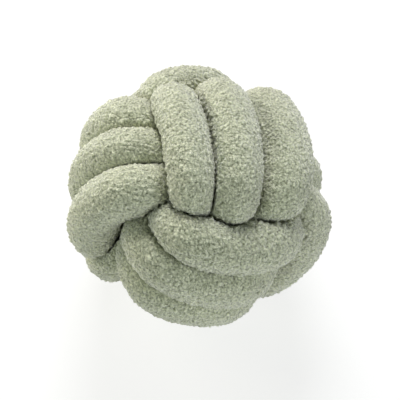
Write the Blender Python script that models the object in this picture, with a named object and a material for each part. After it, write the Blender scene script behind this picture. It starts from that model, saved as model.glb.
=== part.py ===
"""Knot cushion: one stuffed boucle tube tied as a three-strand ball knot.

Metres, +Z up. The cushion rests on Z = 0, with the middle of its box above the origin.

The tube makes nine turns, three in each of three bands. A band crosses over two opposite
faces of the ball and is buried under its neighbours at the two faces between them. Each
crossing of a face is one pass, and a turn is two passes joined by two buried stretches.
Angles are in degrees. A pass is steered by its sideways angle from the middle of its face
where it comes up, at its top and where it goes down.
"""

from collections import namedtuple
from math import atan2, cos, degrees, pi, radians, sin

import bmesh
import bpy
from mathutils import Matrix, Vector

# Driving dimensions
OUTER_REACH = 0.106  # middle of the ball to the middle of the tube, on a face
BURIED_REACH = 0.064  # the same, where the tube runs under a neighbouring band
BURIED_RADIUS = 0.021  # tube squeezed by the band that lies over it
BURIED_SPACING = 0.037  # between neighbouring turns where they are buried
PACKED_RADIUS = 0.090  # inside this the buried tube is pressed into one mass
HALF_FALL = 26.0  # half the angle over which a pass goes down between its neighbours
FLAT_DEPTH = 0.005  # how far the weight of the ball presses its resting side flat
WELD = 0.0001

STATIONS = 56  # sections along one turn
SIDES = 14  # sides of one section
PACKED_SEGMENTS = 24
PACKED_RINGS = 12

# Turns that bring the knot from its own axes to the way it lies, last one first
LYING = (("X", 30.0), ("Z", 6.0), ("X", -30.0), ("Y", 24.0))

# Axes of each band: out of its first face, along the pass, and sideways
BANDS = {
    "front": (Vector((0, 0, 1)), Vector((0, 1, 0)), Vector((1, 0, 0))),
    "lower": (Vector((0, -1, 0)), Vector((1, 0, 0)), Vector((0, 0, 1))),
    "left": (Vector((-1, 0, 0)), Vector((0, 0, 1)), Vector((0, 1, 0))),
}

Pass = namedtuple("Pass", "band face turn start middle end lift radius fall_in fall_out")

# One row for each pass: sideways angle at its start, middle and end, how far it stands
# proud of OUTER_REACH, its tube radius, and the angles at which it has half gone down
PASSES = (
    Pass("front", 0, -1, -23, -27, -29, 0.002, 0.0255, 46, 51),
    Pass("front", 0, 0, -2, -2, -4, 0.001, 0.0265, 46, 49),
    Pass("front", 0, 1, 24, 29, 25, 0.003, 0.0290, 42, 54),
    Pass("front", 1, -1, -28, -33, -44, 0.003, 0.0280, 46, 45),
    Pass("front", 1, 0, -5, -6, -8, 0.000, 0.0275, 46, 46),
    Pass("front", 1, 1, 22, 23, 22, 0.001, 0.0280, 46, 46),
    Pass("lower", 0, -1, -15, -18, -19, -0.001, 0.0270, 47, 40),
    Pass("lower", 0, 0, 11, 10, 8, 0.000, 0.0270, 53, 36),
    Pass("lower", 0, 1, 32, 34, 33, 0.000, 0.0285, 46, 54),
    Pass("lower", 1, -1, -26, -28, -26, 0.000, 0.0275, 46, 46),
    Pass("lower", 1, 0, 0, 0, 0, 0.000, 0.0275, 46, 46),
    Pass("lower", 1, 1, 22, 28, 29, 0.000, 0.0275, 20, 52),
    Pass("left", 0, -1, -16, -15, -20, 0.003, 0.0280, 46, 46),
    Pass("left", 0, 0, 10, 10, 3, 0.001, 0.0255, 46, 48),
    Pass("left", 0, 1, 38, 33, 26, 0.002, 0.0280, 50, 46),
    Pass("left", 1, -1, -18, -25, -30, 0.002, 0.0300, 46, 50),
    Pass("left", 1, 0, 8, 6, 0, -0.004, 0.0275, 46, 46),
    Pass("left", 1, 1, 32, 32, 30, -0.003, 0.0275, 46, 46),
)

COLLECTION = "knot_cushion_parts"
CUTTERS = "knot_cushion_cutters"
BOUCLE_GREEN = (0.46, 0.49, 0.36, 1.0)


def clear_scene():
    for item in list(bpy.data.objects):
        bpy.data.objects.remove(item, do_unlink=True)


def make_collection(name):
    collection = bpy.data.collections.new(name)
    bpy.context.scene.collection.children.link(collection)
    return collection


def smooth_step(value):
    value = min(max(value, 0.0), 1.0)
    return value * value * (3.0 - 2.0 * value)


def periodic_curve(keys, values, place):
    """Value at place of a smooth closed curve through values at keys, in degrees."""
    count = len(keys)
    place = (place - keys[0]) % 360.0 + keys[0]
    index = max(i for i in range(count) if keys[i] <= place)

    def key(i):
        return keys[i % count] + 360.0 * (i // count)

    def slope(i):
        rise = values[(i + 1) % count] - values[(i - 1) % count]
        return rise / (key(i + 1) - key(i - 1))

    span = key(index + 1) - key(index)
    part = (place - key(index)) / span
    near = values[index]
    far = values[(index + 1) % count]
    blend = smooth_step(part)
    leave = (part**3 - 2.0 * part**2 + part) * span * slope(index)
    arrive = (part**3 - part**2) * span * slope(index + 1)
    return near + (far - near) * blend + leave + arrive


def passes_of_turn(band, turn):
    rows = [row for row in PASSES if row.band == band and row.turn == turn]
    return sorted(rows, key=lambda row: row.face)


def turn_section(band, turn, angle):
    """Middle and radius of the tube at one angle round a turn, in the knot's own axes."""
    outward, along, sideways = BANDS[band]
    first, second = passes_of_turn(band, turn)
    buried = degrees(atan2(turn * BURIED_SPACING, BURIED_REACH))
    keys = (-90, -45, 0, 45, 90, 135, 180, 225)
    values = (
        (buried, first.start, first.middle, first.end)
        + (buried, second.start, second.middle, second.end)
    )
    side = radians(periodic_curve(keys, values, angle))
    row = first if angle <= 90.0 else second
    from_top = angle if angle <= 90.0 else angle - 180.0
    half_down = row.fall_in if from_top < 0.0 else row.fall_out
    height = 1.0 - smooth_step((abs(from_top) - half_down + HALF_FALL) / (2.0 * HALF_FALL))
    reach = BURIED_REACH + (OUTER_REACH + row.lift - BURIED_REACH) * height
    radius = BURIED_RADIUS + (row.radius - BURIED_RADIUS) * height
    around = outward * cos(radians(angle)) + along * sin(radians(angle))
    return reach * (around * cos(side) + sideways * sin(side)), radius


def turn_mesh(band, turn):
    """Closed loft through the round sections of one turn."""
    angles = [360.0 * i / STATIONS - 90.0 for i in range(STATIONS)]
    sections = [turn_section(band, turn, angle) for angle in angles]
    bm = bmesh.new()
    loops = []
    for i, (middle, radius) in enumerate(sections):
        ahead = sections[(i + 1) % STATIONS][0] - sections[i - 1][0]
        across = ahead.cross(middle).normalized()
        up = across.cross(ahead).normalized()
        loop = []
        for j in range(SIDES):
            turned = 2.0 * pi * j / SIDES
            offset = across * cos(turned) + up * sin(turned)
            loop.append(bm.verts.new(middle + offset * radius))
        loops.append(loop)
    for i in range(STATIONS):
        near = loops[i]
        far = loops[(i + 1) % STATIONS]
        for j in range(SIDES):
            k = (j + 1) % SIDES
            bm.faces.new((near[j], near[k], far[k], far[j]))
    bmesh.ops.recalc_face_normals(bm, faces=bm.faces)
    mesh = bpy.data.meshes.new(f"{band}_turn_{turn + 2}")
    bm.to_mesh(mesh)
    bm.free()
    return mesh


def lying_matrix():
    matrix = Matrix.Identity(4)
    for axis, angle in LYING:
        matrix = matrix @ Matrix.Rotation(radians(angle), 4, axis)
    return matrix


def add_turns(collection):
    """The nine turns of the tube, each turned to the way the ball lies."""
    lying = lying_matrix()
    for band in BANDS:
        for turn in (-1, 0, 1):
            mesh = turn_mesh(band, turn)
            item = bpy.data.objects.new(mesh.name, mesh)
            item.matrix_world = lying
            item.hide_render = True
            item.display_type = "WIRE"
            collection.objects.link(item)


def add_packed_middle(collection):
    mesh = bpy.data.meshes.new("packed_middle")
    bm = bmesh.new()
    bmesh.ops.create_uvsphere(
        bm, u_segments=PACKED_SEGMENTS, v_segments=PACKED_RINGS, radius=PACKED_RADIUS
    )
    bm.to_mesh(mesh)
    bm.free()
    item = bpy.data.objects.new("packed_middle", mesh)
    collection.objects.link(item)
    return item


def join_turns(middle, turns):
    """Mesh of the packed middle and every turn as one body."""
    join = middle.modifiers.new("turns", "BOOLEAN")
    join.operation = "UNION"
    join.operand_type = "COLLECTION"
    join.collection = turns
    bpy.context.view_layer.update()
    graph = bpy.context.evaluated_depsgraph_get()
    mesh = bpy.data.meshes.new_from_object(middle.evaluated_get(graph))
    bpy.data.objects.remove(middle, do_unlink=True)
    return mesh


def shell_faces(start):
    """Every face that joins on to start."""
    found = {start}
    waiting = [start]
    while waiting:
        face = waiting.pop()
        for edge in face.edges:
            for other in edge.link_faces:
                if other not in found:
                    found.add(other)
                    waiting.append(other)
    return found


def keep_outer_shell(bm):
    """Fills the pockets that are shut in between the turns."""
    top = max(bm.verts, key=lambda vert: vert.co.z)
    outer = shell_faces(top.link_faces[0])
    inner = [face for face in bm.faces if face not in outer]
    bmesh.ops.delete(bm, geom=inner, context="FACES")


def press_flat(bm):
    """Cuts the resting side flat and closes it."""
    level = min(vert.co.z for vert in bm.verts) + FLAT_DEPTH
    parts = list(bm.verts) + list(bm.edges) + list(bm.faces)
    cut = bmesh.ops.bisect_plane(
        bm,
        geom=parts,
        dist=WELD,
        plane_co=(0.0, 0.0, level),
        plane_no=(0.0, 0.0, 1.0),
        clear_inner=True,
    )
    rim = [part for part in cut["geom_cut"] if isinstance(part, bmesh.types.BMEdge)]
    bmesh.ops.contextual_create(bm, geom=rim)
    bmesh.ops.translate(bm, vec=(0.0, 0.0, -level), verts=bm.verts)


def centre_on_origin(bm):
    for axis in (0, 1):
        low = min(vert.co[axis] for vert in bm.verts)
        high = max(vert.co[axis] for vert in bm.verts)
        shift = Vector((0.0, 0.0, 0.0))
        shift[axis] = -(low + high) / 2.0
        bmesh.ops.translate(bm, vec=shift, verts=bm.verts)


def boucle_material():
    material = bpy.data.materials.new("sage_boucle")
    material.use_nodes = True
    shader = material.node_tree.nodes["Principled BSDF"]
    shader.inputs["Base Color"].default_value = BOUCLE_GREEN
    shader.inputs["Roughness"].default_value = 0.95
    shader.inputs["Metallic"].default_value = 0.0
    return material


def finish_cushion(mesh, collection):
    bm = bmesh.new()
    bm.from_mesh(mesh)
    keep_outer_shell(bm)
    bmesh.ops.remove_doubles(bm, verts=bm.verts, dist=WELD)
    press_flat(bm)
    centre_on_origin(bm)
    bmesh.ops.triangulate(bm, faces=bm.faces)
    bm.to_mesh(mesh)
    bm.free()
    mesh.name = "knot_cushion"
    mesh.materials.clear()
    mesh.materials.append(boucle_material())
    cushion = bpy.data.objects.new("knot_cushion", mesh)
    collection.objects.link(cushion)


def main():
    clear_scene()
    parts = make_collection(COLLECTION)
    cutters = make_collection(CUTTERS)
    add_turns(cutters)
    middle = add_packed_middle(parts)
    mesh = join_turns(middle, cutters)
    finish_cushion(mesh, parts)


main()
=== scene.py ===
"""Looks of the knot cushion: nine padded turns of one boucle tube, on a pale studio floor.

Metres, +Z up. Each turn of the tube is lofted through round sections, pressed against its
neighbours and the floor, stuffed, pressed once more, and covered with the nubs of the cloth.
"""

from collections import namedtuple
from math import atan2, cos, degrees, radians, sin

import bmesh
import bpy
import numpy as np
from mathutils import Matrix, Vector, noise

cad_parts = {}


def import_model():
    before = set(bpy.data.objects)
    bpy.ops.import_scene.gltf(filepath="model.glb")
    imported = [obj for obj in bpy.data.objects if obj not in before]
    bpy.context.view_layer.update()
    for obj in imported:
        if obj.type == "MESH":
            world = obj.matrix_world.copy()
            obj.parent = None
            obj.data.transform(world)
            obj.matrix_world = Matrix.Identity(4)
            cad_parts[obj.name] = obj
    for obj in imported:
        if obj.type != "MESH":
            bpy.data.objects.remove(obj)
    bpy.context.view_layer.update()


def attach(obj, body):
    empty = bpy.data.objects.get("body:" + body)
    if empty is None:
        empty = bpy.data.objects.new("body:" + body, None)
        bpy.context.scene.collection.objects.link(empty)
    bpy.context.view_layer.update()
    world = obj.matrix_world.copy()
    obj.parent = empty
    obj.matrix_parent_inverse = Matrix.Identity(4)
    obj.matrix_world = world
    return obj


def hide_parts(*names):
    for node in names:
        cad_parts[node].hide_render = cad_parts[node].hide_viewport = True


# The tube's route, as in the part
OUTER_REACH = 0.106  # middle of the ball to the middle of the tube, on a face
BURIED_REACH = 0.064  # the same, where the tube runs under a neighbouring band
BURIED_RADIUS = 0.021  # tube squeezed by the band that lies over it
BURIED_SPACING = 0.037  # between neighbouring turns where they are buried
HALF_FALL = 26.0  # half the angle over which a pass goes down between its neighbours
FLAT_DEPTH = 0.005  # how far the weight of the ball presses its resting side flat

# Turns that bring the knot from its own axes to the way it lies, last one first
LYING = (("X", 30.0), ("Z", 6.0), ("X", -30.0), ("Y", 24.0))

# Axes of each band: out of its first face, along the pass, and sideways
BANDS = {
    "front": (Vector((0, 0, 1)), Vector((0, 1, 0)), Vector((1, 0, 0))),
    "lower": (Vector((0, -1, 0)), Vector((1, 0, 0)), Vector((0, 0, 1))),
    "left": (Vector((-1, 0, 0)), Vector((0, 0, 1)), Vector((0, 1, 0))),
}

# The band that each band crosses over
LIES_OVER = {"front": "left", "lower": "front", "left": "lower"}

Pass = namedtuple("Pass", "band face turn start middle end lift radius fall_in fall_out")

# One row for each pass: sideways angle at its start, middle and end, how far it stands
# proud of OUTER_REACH, its tube radius, and the angles at which it has half gone down
PASSES = (
    Pass("front", 0, -1, -23, -27, -29, 0.002, 0.0255, 46, 51),
    Pass("front", 0, 0, -2, -2, -4, 0.001, 0.0265, 46, 49),
    Pass("front", 0, 1, 24, 29, 25, 0.003, 0.0290, 42, 54),
    Pass("front", 1, -1, -28, -33, -44, 0.003, 0.0280, 46, 45),
    Pass("front", 1, 0, -5, -6, -8, 0.000, 0.0275, 46, 46),
    Pass("front", 1, 1, 22, 23, 22, 0.001, 0.0280, 46, 46),
    Pass("lower", 0, -1, -15, -18, -19, -0.001, 0.0270, 47, 40),
    Pass("lower", 0, 0, 11, 10, 8, 0.000, 0.0270, 53, 36),
    Pass("lower", 0, 1, 32, 34, 33, 0.000, 0.0285, 46, 54),
    Pass("lower", 1, -1, -26, -28, -26, 0.000, 0.0275, 46, 46),
    Pass("lower", 1, 0, 0, 0, 0, 0.000, 0.0275, 46, 46),
    Pass("lower", 1, 1, 22, 28, 29, 0.000, 0.0275, 20, 52),
    Pass("left", 0, -1, -16, -15, -20, 0.003, 0.0280, 46, 46),
    Pass("left", 0, 0, 10, 10, 3, 0.001, 0.0255, 46, 48),
    Pass("left", 0, 1, 38, 33, 26, 0.002, 0.0280, 50, 46),
    Pass("left", 1, -1, -18, -25, -30, 0.002, 0.0300, 46, 50),
    Pass("left", 1, 0, 8, 6, 0, -0.004, 0.0275, 46, 46),
    Pass("left", 1, 1, 32, 32, 30, -0.003, 0.0275, 46, 46),
)

# Sections of the padded turns
SHOWN_PASS = 60.0  # angle from the top of a pass to where it is hidden
SHOWN_SIDE = 108.0  # angle from the outer side of a ring to where it is hidden
PASS_RINGS = 28  # rings along the shown part of a pass
BURIED_RINGS = 3  # and along a buried stretch
SHOWN_SIDES = 11  # points round the shown part of a ring
HIDDEN_SIDES = 3  # and round the hidden part
RING_NUDGE = 0.5  # degrees to either side of a ring, to find its direction
LINE_POINTS = 360  # points that a turn's middle line is read at
STRIP_WIDTH = 0.5  # of the map: each half of a turn has a strip of its own
STRIP_MARGIN = 0.003  # left free along both sides of a strip

# Stuffing, a short cloth simulation with the filling's pressure
STUFFING_PRESSURE = 4.0
STUFFING_FRAMES = 20
STUFFING_QUALITY = 5  # steps of the simulation in a frame
STUFFING_REACH = 0.004  # the furthest that it may move the cloth

# How the turns press on each other. A tube stops at a wall halfway to its neighbour. The
# mingling is how far past that wall its pile goes, into the neighbour's pile
SIDE_MINGLING = 0.0020  # beside the next turn of its own band
UNDER_MINGLING = 0.0006  # under another band
OVER_MINGLING = 0.0018  # over another band
SHOULDER = 0.12  # how softly the cloth rolls into a crease, of the tube's radius
PRESS_ROUNDS = 3  # a round more follows the bends of the tube a little better
NO_WALL = 2.0  # a wall further off than this, in tube radii, isn't there
TINY = 1e-9  # keeps a division from failing

# Nubs of the pile
NUB_SIZE = 0.0046  # from one nub to the next
NUB_HEIGHT = 0.0042
NUB_REACH = 0.60  # a nub is at its full height where the next one is further off by this
NUB_UNEVEN = 0.6  # how much lower the lowest nub is than the tallest, of its height
NUB_VARIETY = 7.3  # step through the noise from one nub's height to the next one's
NUB_WARP = 0.0012  # how far the edges of the nubs wander
NUB_WARP_SIZE = 0.0035  # and how far apart their bends are
NUB_SEED = 1  # so that the nubs are the same each time
CURL_SIZE = 0.0028  # finer curls on the nubs
CURL_SHARE = 0.30  # of the height

# Colour and bump of the pile, with painted shade in the hollows between its nubs, curls and fibres.
# A scale is in cells for each metre
HOLLOW_SHADE_COLOUR = (0.18, 0.20, 0.115, 1.0)  # painted shade, deep between the curls
TIP_COLOUR = (0.95, 0.98, 0.75, 1.0)  # the cloth's own pale sage, on the tips of the fibres, clear of the painted shade
WAVER_SCALE = 500.0
WAVER_REACH = 0.0024  # how far the fine curls are bent out of round
FINE_CURL_SCALE = 410.0
FINE_CURL_EDGE = 0.78  # from a fine curl's middle to where it ends, of a cell
FINE_CURL_CROWN = 0.30  # and to where it is at its full height
FIBRE_SCALE = 480.0
FIBRE_ROUGHNESS = 0.7
FIBRE_LOW = 0.30  # noise that counts as no fibre
FIBRE_HIGH = 0.60  # and as a whole one
PATCH_SCALE = 25.0
NUB_LIGHT = 0.36  # how much each of them lightens the colour: nubs, curls and fibres lift it out of the painted shade of the hollows, patches vary its tone at random
FINE_CURL_LIGHT = 0.36
FIBRE_LIGHT = 0.40
PATCH_LIGHT = 0.15
SHADE = 0.12  # what all of the cloth is darkened by
FINE_CURL_BUMP = 0.6  # shares of the bump
FIBRE_BUMP = 0.4
BUMP_DEPTH = 0.0014

# Sockets of a Mix node that mixes colours
MIX_FACTOR = 0
MIX_FIRST = 6
MIX_SECOND = 7
MIX_RESULT = 2

# Studio
FLOOR_HALF_WIDTH = 6.0
FLOOR_GREY = 0.3
FLOOR_GLOW = 0.72  # lifts the floor to the white of a lit studio sweep
ROOM_LIGHT = 0.05

Lamp = namedtuple("Lamp", "name place size power colour")

# Softboxes round the ball: where each hangs, its width, its power and its colour
LAMPS = (
    Lamp("back_key", (0.0, 1.34, 1.47), 1.0, 34.0, (1.0, 0.99, 1.0)),
    Lamp("left_back_fill", (-1.57, 0.90, 0.70), 1.0, 20.0, (1.0, 0.94, 0.80)),
    Lamp("right_front_fill", (1.49, -0.86, 0.93), 1.0, 14.0, (0.94, 0.99, 1.0)),
    Lamp("left_front_fill", (-1.00, -1.19, 1.22), 1.0, 8.5, (0.90, 1.0, 0.86)),
)

# Camera and framing, in the 400 x 400 picture
CAMERA_DISTANCE = 1.4
CAMERA_ELEVATION = 60.0
SENSOR_WIDTH = 36.0
PICTURE_PIXELS = 400
PIXELS_PER_METRE = 990.0  # at the middle of the knot
KNOT_PIXEL = (198.0, 197.0)  # where the middle of the knot shows


# ---------------------------------------------------------------- the tube's route


def smooth_step(value):
    """Eases from 0 to 1 as value does, and stays there past either end."""
    value = min(max(value, 0.0), 1.0)
    return value * value * (3.0 - 2.0 * value)


def periodic_curve(keys, values, place):
    """Value at place of a smooth closed curve through values at keys, in degrees."""
    count = len(keys)
    place = (place - keys[0]) % 360.0 + keys[0]
    index = max(i for i in range(count) if keys[i] <= place)

    def key(i):
        return keys[i % count] + 360.0 * (i // count)

    def slope(i):
        rise = values[(i + 1) % count] - values[(i - 1) % count]
        return rise / (key(i + 1) - key(i - 1))

    span = key(index + 1) - key(index)
    part = (place - key(index)) / span
    near = values[index]
    far = values[(index + 1) % count]
    blend = smooth_step(part)
    leave = (part**3 - 2.0 * part**2 + part) * span * slope(index)
    arrive = (part**3 - part**2) * span * slope(index + 1)
    return near + (far - near) * blend + leave + arrive


def passes_of_turn(band, turn):
    """The turn's two rows, first face first."""
    rows = [row for row in PASSES if row.band == band and row.turn == turn]
    return sorted(rows, key=lambda row: row.face)


def turn_section(band, turn, angle):
    """Middle and radius of the tube at one angle round a turn, in the knot's own axes."""
    outward, along, sideways = BANDS[band]
    first, second = passes_of_turn(band, turn)
    buried = degrees(atan2(turn * BURIED_SPACING, BURIED_REACH))
    keys = (-90, -45, 0, 45, 90, 135, 180, 225)
    values = (
        (buried, first.start, first.middle, first.end)
        + (buried, second.start, second.middle, second.end)
    )
    side = radians(periodic_curve(keys, values, angle))
    row = first if angle <= 90.0 else second
    from_top = angle if angle <= 90.0 else angle - 180.0
    half_down = row.fall_in if from_top < 0.0 else row.fall_out
    height = 1.0 - smooth_step((abs(from_top) - half_down + HALF_FALL) / (2.0 * HALF_FALL))
    reach = BURIED_REACH + (OUTER_REACH + row.lift - BURIED_REACH) * height
    radius = BURIED_RADIUS + (row.radius - BURIED_RADIUS) * height
    around = outward * cos(radians(angle)) + along * sin(radians(angle))
    return reach * (around * cos(side) + sideways * sin(side)), radius


def lying_matrix():
    """Turns the knot's own axes to the way it lies."""
    matrix = Matrix.Identity(3)
    for axis, angle in LYING:
        matrix = matrix @ Matrix.Rotation(radians(angle), 3, axis)
    return matrix


class Turn:
    """One turn of the tube: its middle line and radii, as the ball lies."""

    def __init__(self, band, number, lying):
        self.band = band
        self.number = number
        self.name = f"{band}_turn_{number + 2}"
        self.lying = lying
        self.shift = Vector((0.0, 0.0, 0.0))
        angles = [360.0 * i / LINE_POINTS - 90.0 for i in range(LINE_POINTS)]
        sections = [turn_section(band, number, angle) for angle in angles]
        self.middles = np.array([lying @ middle for middle, _ in sections])
        self.radii = np.array([radius for _, radius in sections])
        self.aheads = np.roll(self.middles, -1, axis=0) - np.roll(self.middles, 1, axis=0)
        self.steps = np.linalg.norm(self.aheads, axis=1) / 2.0
        self.aheads /= 2.0 * self.steps[:, None]
        self.swell = (np.roll(self.radii, -1) - np.roll(self.radii, 1)) / (2.0 * self.steps)

    def move(self, shift):
        self.shift = self.shift + shift
        self.middles += np.array(shift)

    def section(self, angle):
        """Middle and radius of the tube at any angle round the turn."""
        from_start = (angle + 90.0) % 360.0 - 90.0
        middle, radius = turn_section(self.band, self.number, from_start)
        return self.lying @ middle + self.shift, radius

    def nearest(self, points):
        """The middle line's nearest places to the points, and the radii there."""
        line = self.middles
        apart = (line * line).sum(axis=1)[None, :] - 2.0 * points @ line.T
        index = apart.argmin(axis=1)
        along = ((points - line[index]) * self.aheads[index]).sum(axis=1)
        along = np.clip(along, -self.steps[index], self.steps[index])
        places = line[index] + self.aheads[index] * along[:, None]
        return places, self.radii[index] + self.swell[index] * along


def make_turns():
    """The nine turns, centred over the origin and lying on Z = 0."""
    lying = lying_matrix()
    turns = [Turn(band, number, lying) for band in BANDS for number in (-1, 0, 1)]
    low = np.min([(turn.middles - turn.radii[:, None]).min(axis=0) for turn in turns], axis=0)
    high = np.max([(turn.middles + turn.radii[:, None]).max(axis=0) for turn in turns], axis=0)
    shift = Vector((-(low[0] + high[0]) / 2.0, -(low[1] + high[1]) / 2.0, -low[2] - FLAT_DEPTH))
    for turn in turns:
        turn.move(shift)
    return turns, shift


# ---------------------------------------------------------------- the padded turns


def spread(shown, hidden, half_width, whole):
    """Angles from -half_width: shown steps over the part that shows, then hidden steps."""
    step = 2.0 * half_width / shown
    wide = (whole - 2.0 * half_width) / hidden
    angles = [step * i - half_width for i in range(shown)]
    return angles + [half_width + wide * i for i in range(hidden)]


def station_angles():
    """Angles of the rings round a turn, close together on its two passes."""
    half_turn = spread(PASS_RINGS, BURIED_RINGS, SHOWN_PASS, 180.0)
    return half_turn + [angle + 180.0 for angle in half_turn]


STATION_ANGLES = station_angles()
SIDE_ANGLES = spread(SHOWN_SIDES, HIDDEN_SIDES, SHOWN_SIDE, 360.0)
STATIONS = len(STATION_ANGLES)
SIDES = len(SIDE_ANGLES)


def add_ring(bm, layers, turn, station):
    """One round section of a turn."""
    angle = STATION_ANGLES[station]
    middle, radius = turn.section(angle)
    behind, _ = turn.section(angle - RING_NUDGE)
    before, _ = turn.section(angle + RING_NUDGE)
    ahead = (before - behind).normalized()
    across = ahead.cross(middle - turn.shift).normalized()
    up = across.cross(ahead)
    made = bmesh.ops.create_circle(bm, cap_ends=False, radius=radius, segments=SIDES)
    for side, vert in enumerate(made["verts"]):
        round_angle = radians(SIDE_ANGLES[side])
        vert.co = middle + (up * cos(round_angle) + across * sin(round_angle)) * radius
        vert[layers["station"]] = station
        vert[layers["side"]] = side
    return list({edge for vert in made["verts"] for edge in vert.link_edges})


def lay_out_map(bm, layers, uv_layer):
    """Map of a turn in two strips, one for each half of the turn."""
    half = STATIONS // 2
    width = STRIP_WIDTH - 2.0 * STRIP_MARGIN
    for face in bm.faces:
        stations = [loop.vert[layers["station"]] for loop in face.loops]
        sides = [loop.vert[layers["side"]] for loop in face.loops]
        last_station = max(stations) - min(stations) > 1
        last_side = max(sides) - min(sides) > 1
        strip = 1 if last_station or max(stations) > half else 0
        for loop, station, side in zip(face.loops, stations, sides):
            if last_station and station == 0:
                station = STATIONS
            if last_side and side == 0:
                side = SIDES
            across = STRIP_MARGIN + width * side / SIDES + STRIP_WIDTH * strip
            loop[uv_layer].uv = ((station - half * strip) / half, across)


def turn_cage(turn):
    """Closed coarse loft through the rings of one turn."""
    bm = bmesh.new()
    layers = {name: bm.verts.layers.int.new(name) for name in ("station", "side")}
    uv_layer = bm.loops.layers.uv.new("OFBake")
    rings = [add_ring(bm, layers, turn, station) for station in range(STATIONS)]
    for near, far in zip(rings, rings[1:] + rings[:1]):
        bmesh.ops.bridge_loops(bm, edges=near + far)
    bmesh.ops.recalc_face_normals(bm, faces=bm.faces)
    lay_out_map(bm, layers, uv_layer)
    mesh = bpy.data.meshes.new(turn.name)
    bm.to_mesh(mesh)
    bm.free()
    piece = bpy.data.objects.new(turn.name, mesh)
    bpy.context.scene.collection.objects.link(piece)
    return piece


def subdivide(piece):
    """Makes the piece's own mesh one level of subdivision finer."""
    finer = piece.modifiers.new("finer", "SUBSURF")
    finer.levels = 1
    finer.render_levels = 1
    graph = bpy.context.evaluated_depsgraph_get()
    mesh = bpy.data.meshes.new_from_object(
        piece.evaluated_get(graph), preserve_all_data_layers=True, depsgraph=graph
    )
    piece.modifiers.clear()
    old = piece.data
    piece.data = mesh
    bpy.data.meshes.remove(old)
    mesh.name = piece.name


def read_points(mesh, kind="co"):
    numbers = np.empty(len(mesh.vertices) * 3)
    mesh.vertices.foreach_get(kind, numbers)
    return numbers.reshape(-1, 3)


def write_points(mesh, points):
    mesh.vertices.foreach_set("co", np.ascontiguousarray(points).ravel())
    mesh.update()


def mingling(turn, other):
    """How far the turn's pile goes into the other's."""
    if LIES_OVER[turn.band] == other.band:
        return OVER_MINGLING
    if LIES_OVER[other.band] == turn.band:
        return UNDER_MINGLING
    return SIDE_MINGLING


def tube_sizes(points, turn):
    """Distance of each point from the tube's middle, in tube radii."""
    middles, radii = turn.nearest(points)
    return np.linalg.norm(points - middles, axis=1) / radii


def pressed(points, turn, others, sizes):
    """The points at their sizes in tube radii, pulled back to flat walls at the neighbours."""
    for _ in range(PRESS_ROUNDS):
        middles, radii = turn.nearest(points)
        ways = points - middles
        ways /= np.linalg.norm(ways, axis=1)[:, None]
        room = np.full(len(points), NO_WALL)
        for other in others:
            there, other_radii = other.nearest(points)
            between = there - middles
            facing = 2.0 * radii * (ways * between).sum(axis=1)
            spare = (between**2).sum(axis=1) - other_radii**2 + radii**2
            wall = np.where(facing > TINY, spare / np.maximum(facing, TINY), NO_WALL)
            room = np.minimum(room, wall + mingling(turn, other) / radii)
        room = np.clip(room, 0.0, NO_WALL)
        soft = (sizes + room - np.sqrt((sizes - room) ** 2 + SHOULDER**2)) / 2.0
        points = middles + ways * (radii * soft)[:, None]
    return points


def press_on_floor(points):
    points[:, 2] = np.maximum(points[:, 2], 0.0)
    return points


def stuff(piece):
    """Fills the tube: its cloth swells under pressure, by no more than STUFFING_REACH."""
    scene = bpy.context.scene
    start = read_points(piece.data)
    filling = piece.modifiers.new("filling", "CLOTH")
    filling.settings.use_pressure = True
    filling.settings.uniform_pressure_force = STUFFING_PRESSURE
    filling.settings.effector_weights.gravity = 0.0
    filling.settings.quality = STUFFING_QUALITY
    filling.collision_settings.use_collision = False
    filling.point_cache.frame_start = 1
    filling.point_cache.frame_end = STUFFING_FRAMES
    for frame in range(1, STUFFING_FRAMES + 1):
        scene.frame_set(frame)
    graph = bpy.context.evaluated_depsgraph_get()
    moves = read_points(piece.evaluated_get(graph).data) - start
    piece.modifiers.clear()
    scene.frame_set(1)
    lengths = np.linalg.norm(moves, axis=1)
    moves *= np.minimum(1.0, STUFFING_REACH / np.maximum(lengths, TINY))[:, None]
    write_points(piece.data, start + moves)


def nub_heights(points):
    """Height of the cloth at each point, from 0 in the gaps to 1 on the tallest nubs."""
    noise.seed_set(NUB_SEED)
    heights = np.empty(len(points))
    for i, point in enumerate(points):
        place = Vector(point)
        place = place + noise.noise_vector(place / NUB_WARP_SIZE) * NUB_WARP
        distances, nubs = noise.voronoi(place / NUB_SIZE)
        dome = min((distances[1] - distances[0]) / NUB_REACH, 1.0)
        tall = 0.5 + 0.5 * noise.noise(nubs[0] * NUB_VARIETY)
        curl = 0.5 + 0.5 * noise.noise(place / CURL_SIZE)
        nub = dome * (1.0 - NUB_UNEVEN + NUB_UNEVEN * tall)
        heights[i] = nub * (1.0 - CURL_SHARE) + CURL_SHARE * curl
    return heights


def cover_with_nubs(piece):
    """Raises the nubs out of the cloth, and keeps their heights, which the finish turns into
    painted shade between the nubs.
    """
    mesh = piece.data
    points = read_points(mesh)
    normals = read_points(mesh, "normal")
    heights = nub_heights(points)
    points = points + normals * ((heights - 0.5) * NUB_HEIGHT)[:, None]
    write_points(mesh, press_on_floor(points))
    # The finish paints shade into the gaps between the nubs from these heights
    layer = mesh.attributes.new("nub", "FLOAT", "POINT")
    layer.data.foreach_set("value", heights.astype(np.float32))


def make_padded_turn(turn, others, material):
    """One stuffed turn of the tube, pressed by the others and covered with nubs."""
    piece = turn_cage(turn)
    subdivide(piece)
    points = pressed(read_points(piece.data), turn, others, 1.0)
    write_points(piece.data, press_on_floor(points))
    stuff(piece)
    subdivide(piece)
    points = read_points(piece.data)
    points = pressed(points, turn, others, tube_sizes(points, turn))
    write_points(piece.data, press_on_floor(points))
    subdivide(piece)
    cover_with_nubs(piece)
    piece.data.shade_smooth()
    piece.data.materials.clear()
    piece.data.materials.append(material)
    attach(piece, "root")
    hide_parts("knot_cushion")
    return piece


# ---------------------------------------------------------------- finishes


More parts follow.
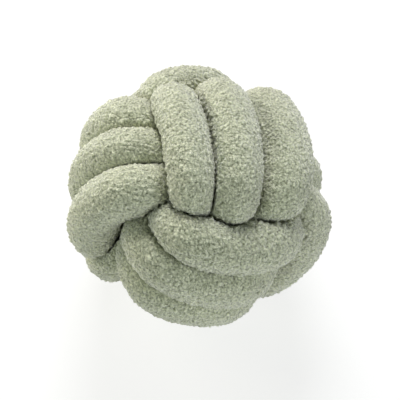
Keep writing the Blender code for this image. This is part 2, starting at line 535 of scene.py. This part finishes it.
class Value:
    """A node's output, so that sums on it read as Python."""

    def __init__(self, finish, socket):
        self.finish = finish
        self.socket = socket

    def math(self, operation, *values):
        return self.finish.node("ShaderNodeMath", {"operation": operation}, dict(enumerate(values)))

    def __add__(self, other):
        return self.math("ADD", self, other)

    def __radd__(self, other):
        return self.math("ADD", other, self)

    def __sub__(self, other):
        return self.math("SUBTRACT", self, other)

    def __rsub__(self, other):
        return self.math("SUBTRACT", other, self)

    def __mul__(self, other):
        return self.math("MULTIPLY", self, other)

    def __rmul__(self, other):
        return self.math("MULTIPLY", other, self)


class Finish:
    """A material on a Principled shader, with one way to add any node to it."""

    def __init__(self, name, **plain):
        self.material = bpy.data.materials.new(name)
        self.material.use_nodes = True
        self.tree = self.material.node_tree
        self.shader = self.tree.nodes["Principled BSDF"]
        for socket, value in plain.items():
            self.shader.inputs[socket.replace("_", " ").title()].default_value = value

    def node(self, kind, settings, sockets, output=0):
        """A new node: its settings first, then the values or links of its sockets."""
        made = self.tree.nodes.new(kind)
        for name, value in settings.items():
            setattr(made, name, value)
        for name, value in sockets.items():
            self.plug(made.inputs[name], value)
        return Value(self, made.outputs[output])

    def plug(self, socket, value):
        if isinstance(value, Value):
            self.tree.links.new(value.socket, socket)
        else:
            socket.default_value = value

    def smooth_range(self, value, low, high):
        """Eased from 0 where value is low to 1 where it is high."""
        return self.node(
            "ShaderNodeMapRange",
            {"interpolation_type": "SMOOTHSTEP"},
            {"Value": value, "From Min": low, "From Max": high},
        )

    def feed(self, name, value):
        self.plug(self.shader.inputs[name], value)


def boucle_finish():
    """Teddy boucle: fine curls and fibres, pale on their tips with painted shade in the hollows
    between them, and light scattered in the pile.
    """
    finish = Finish(
        "sage_boucle",
        roughness=0.9,
        sheen_weight=0.8,
        sheen_roughness=0.4,
        subsurface_weight=0.40,
        subsurface_radius=(1.0, 1.0, 1.0),
        subsurface_scale=0.0035,
    )
    place = finish.node("ShaderNodeTexCoord", {}, {}, "Object")
    nub = finish.node("ShaderNodeAttribute", {"attribute_name": "nub"}, {}, "Fac")
    waver = finish.node(
        "ShaderNodeTexNoise", {}, {"Vector": place, "Scale": WAVER_SCALE, "Detail": 1.0}, "Color"
    )
    wavering = finish.node(
        "ShaderNodeVectorMath",
        {"operation": "MULTIPLY_ADD"},
        {0: waver, 1: (WAVER_REACH, WAVER_REACH, WAVER_REACH), 2: place},
    )
    from_middle = finish.node(
        "ShaderNodeTexVoronoi",
        {"feature": "F1"},
        {"Vector": wavering, "Scale": FINE_CURL_SCALE},
        "Distance",
    )
    curl = finish.smooth_range(from_middle, FINE_CURL_EDGE, FINE_CURL_CROWN)
    strands = finish.node(
        "ShaderNodeTexNoise",
        {},
        {"Vector": place, "Scale": FIBRE_SCALE, "Detail": 2.0, "Roughness": FIBRE_ROUGHNESS},
    )
    fibre = finish.smooth_range(strands, FIBRE_LOW, FIBRE_HIGH)
    patch = finish.node(
        "ShaderNodeTexNoise", {}, {"Vector": place, "Scale": PATCH_SCALE, "Detail": 1.0}
    )
    # Tall nubs, curls and fibres keep the cloth's colour; the hollows between them get painted
    # shade
    pile = nub * NUB_LIGHT + curl * FINE_CURL_LIGHT + fibre * FIBRE_LIGHT
    light = pile + patch * PATCH_LIGHT - SHADE
    # Base colour runs from the painted shade of the hollows up to the cloth's pale sage on the tips
    colour = finish.node(
        "ShaderNodeMix",
        {"data_type": "RGBA"},
        {MIX_FACTOR: light, MIX_FIRST: HOLLOW_SHADE_COLOUR, MIX_SECOND: TIP_COLOUR},
        MIX_RESULT,
    )
    finish.feed("Base Color", colour)
    height = curl * FINE_CURL_BUMP + fibre * FIBRE_BUMP
    bump = finish.node(
        "ShaderNodeBump", {}, {"Height": height, "Strength": 1.0, "Distance": BUMP_DEPTH}
    )
    finish.feed("Normal", bump)
    return finish.material


def floor_finish():
    """Matt white of a lit studio sweep."""
    finish = Finish(
        "pale_floor",
        base_color=(FLOOR_GREY, FLOOR_GREY, FLOOR_GREY, 1.0),
        roughness=0.9,
        emission_color=(1.0, 1.0, 1.0, 1.0),
        emission_strength=FLOOR_GLOW,
    )
    return finish.material


# ---------------------------------------------------------------- the studio


def add_floor():
    mesh = bpy.data.meshes.new("floor")
    bm = bmesh.new()
    bmesh.ops.create_grid(bm, x_segments=1, y_segments=1, size=FLOOR_HALF_WIDTH)
    bm.to_mesh(mesh)
    bm.free()
    mesh.materials.append(floor_finish())
    floor = bpy.data.objects.new("floor", mesh)
    bpy.context.scene.collection.objects.link(floor)


def add_camera(middle):
    """Camera at the photograph's angle, looking at the middle of the knot."""
    scene = bpy.context.scene
    camera = bpy.data.objects.new("camera", bpy.data.cameras.new("camera"))
    scene.collection.objects.link(camera)
    raised = radians(CAMERA_ELEVATION)
    back = Vector((0.0, -cos(raised), sin(raised)))
    camera.location = middle + back * CAMERA_DISTANCE
    camera.rotation_euler = back.to_track_quat("Z", "Y").to_euler()
    camera.data.sensor_width = SENSOR_WIDTH
    camera.data.lens = SENSOR_WIDTH * CAMERA_DISTANCE * PIXELS_PER_METRE / PICTURE_PIXELS
    camera.data.shift_x = 0.5 - KNOT_PIXEL[0] / PICTURE_PIXELS
    camera.data.shift_y = KNOT_PIXEL[1] / PICTURE_PIXELS - 0.5
    scene.camera = camera


def add_lamp(row, middle):
    """A round softbox that faces the middle of the knot and doesn't show."""
    light = bpy.data.lights.new(row.name, "AREA")
    light.shape = "DISK"
    light.size = row.size
    light.energy = row.power
    light.color = row.colour
    lamp = bpy.data.objects.new(row.name, light)
    lamp.location = row.place
    lamp.rotation_euler = (Vector(row.place) - middle).to_track_quat("Z", "Y").to_euler()
    lamp.visible_camera = False
    bpy.context.scene.collection.objects.link(lamp)


def add_studio_light(middle):
    """The softboxes, and a little light from all round."""
    world = bpy.data.worlds.new("studio")
    world.use_nodes = True
    backdrop = world.node_tree.nodes["Background"]
    backdrop.inputs["Color"].default_value = (1.0, 1.0, 1.0, 1.0)
    backdrop.inputs["Strength"].default_value = ROOM_LIGHT
    bpy.context.scene.world = world
    for row in LAMPS:
        add_lamp(row, middle)
    bpy.context.scene.view_settings.view_transform = "Standard"


def main():
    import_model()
    turns, middle = make_turns()
    add_camera(middle)
    add_studio_light(middle)
    add_floor()
    boucle = boucle_finish()
    for turn in turns:
        others = [other for other in turns if other is not turn]
        make_padded_turn(turn, others, boucle)


main()
